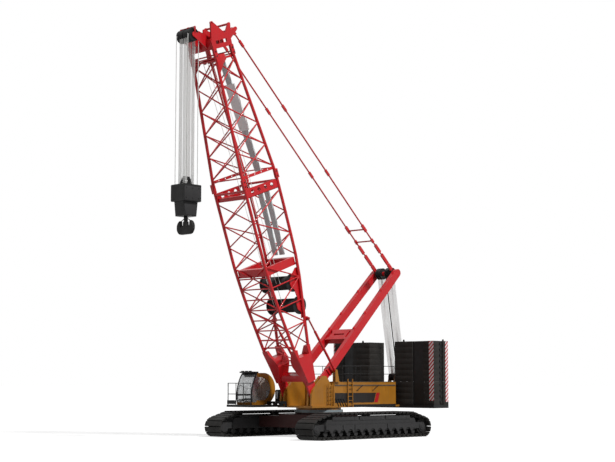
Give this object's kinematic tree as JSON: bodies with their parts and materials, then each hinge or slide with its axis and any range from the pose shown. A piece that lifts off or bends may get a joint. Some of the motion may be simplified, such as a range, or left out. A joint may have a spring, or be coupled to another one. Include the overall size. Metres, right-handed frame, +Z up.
{
  "type": "lattice boom crawler crane",
  "caption": "Crawler crane with a pinned lattice boom, rear mast with pendants, stacked counterweights, glazed cab and a hanging hook block.",
  "frame": {"origin": "on the ground, under the middle of the overall box; the slewing axis is 2.076 m behind it", "axes": "+X forward along the crawlers, the way the boom leans; +Y to the crane's left; +Z up"},
  "size_m": [20.7716, 9.9, 26.1612],
  "materials": {
    "red_enamel": "gloss",
    "ochre_enamel": "gloss",
    "black_enamel": "satin",
    "track_steel": "matte",
    "dark_enamel": "satin",
    "ring_grey": "satin",
    "board_grey": "satin",
    "safety_glass": "gloss",
    "wire_rope": "satin",
    "forged_steel": "satin",
    "seat_cloth": "matte"
  },
  "bodies": {
    "undercarriage": {"crawler_loop_left": "track_steel", "crawler_loop_right": "track_steel", "crawler_frame_left": "dark_enamel", "crawler_frame_right": "dark_enamel", "drive_sprockets": "track_steel", "track_idlers": "track_steel", "carbody": "dark_enamel", "slewing_ring": "ring_grey"},
    "superstructure": {"slewing_deck": "ochre_enamel", "machinery_housings": "ochre_enamel", "backstop_brackets": "ochre_enamel", "counterweight_tray": "black_enamel", "counterweight_left": "black_enamel", "counterweight_right": "black_enamel", "luffing_winch": "black_enamel", "luffing_anchor": "ochre_enamel", "anchor_sheaves": "black_enamel", "cab_shell": "ochre_enamel", "cab_front_frame": "dark_enamel", "cab_glass": "safety_glass", "cab_platform": "black_enamel", "cab_seat": "seat_cloth", "handrails": "ring_grey", "access_ladder": "dark_enamel", "luffing_ropes": "wire_rope"},
    "cab_door": {"cab_door": "ochre_enamel", "cab_door_glass": "safety_glass"},
    "boom": {"boom_base_trusses": "red_enamel", "boom_base_lacing": "red_enamel", "boom_top_trusses": "red_enamel", "boom_top_lacing": "red_enamel", "boom_cross_frames": "red_enamel", "hoist_winches": "black_enamel", "boom_head": "red_enamel", "head_sheaves": "black_enamel", "boom_rear_channel": "ring_grey", "blank_name_board": "board_grey"},
    "pendants": {"boom_pendants": "red_enamel"},
    "mast": {"mast_legs": "red_enamel", "mast_cross_beams": "red_enamel", "mast_sheaves": "black_enamel"},
    "load": {"hoist_ropes": "wire_rope", "hook_block": "black_enamel"},
    "hook": {"ramshorn_hook": "forged_steel"},
    "backstop_barrels": {"backstop_barrels": "red_enamel"},
    "backstop_rods": {"backstop_rods": "red_enamel"}
  },
  "joints": [
    {"name": "slew", "type": "hinge", "parent": "undercarriage", "child": "superstructure", "pos_m": [-2.0758, 0, 1.78], "axis": [0, 0, 1], "continuous": true},
    {"name": "boom_luff", "type": "hinge", "parent": "superstructure", "child": "boom", "pos_m": [-0.2898, 0, 2.802], "axis": [0, 1, 0], "range_deg": [-15.3, 39.7]},
    {"name": "mast_luff", "type": "hinge", "parent": "superstructure", "child": "mast", "pos_m": [-1.1258, 0, 3.75], "axis": [0, 1, 0], "range_deg": [-17.04, 44.17], "deforming": ["luffing_ropes"]},
    {"name": "pendant_swing", "type": "hinge", "parent": "boom", "child": "pendants", "pos_m": [6.6437, 0, 25.86925], "axis": [0, 1, 0], "range_deg": [-0.4488, 0.1852]},
    {"name": "load_swing", "type": "hinge", "parent": "boom", "child": "load", "pos_m": [9.6695, 0, 25.0272], "axis": [0, 1, 0], "range_deg": [-39.72, 15.32]},
    {"name": "hook_swivel", "type": "hinge", "parent": "load", "child": "hook", "pos_m": [9.6695, 0, 13.7], "axis": [0, 0, 1], "continuous": true},
    {"name": "backstop_swing", "type": "hinge", "parent": "superstructure", "child": "backstop_barrels", "pos_m": [-1.9758, 0, 4.32], "axis": [0, 1, 0], "range_deg": [-14.25, 36.95]},
    {"name": "backstop_slide", "type": "slide", "parent": "backstop_barrels", "child": "backstop_rods", "axis": [0.6023, 0, 0.7983], "range_m": [-0.5918, 1.5325]},
    {"name": "cab_door_slide", "type": "slide", "parent": "superstructure", "child": "cab_door", "axis": [-1, 0, 0], "range_m": [0, 0.7]}
  ],
  "couplings": [
    {"joint": "mast_luff", "follows": "boom_luff", "ratio": 1.1121},
    {"joint": "pendant_swing", "follows": "boom_luff", "ratio": -0.0108},
    {"joint": "load_swing", "follows": "boom_luff", "ratio": -1},
    {"joint": "backstop_swing", "follows": "boom_luff", "ratio": 0.9303},
    {"joint": "backstop_slide", "follows": "boom_luff", "m_per_rad": 2.2088}
  ]
}
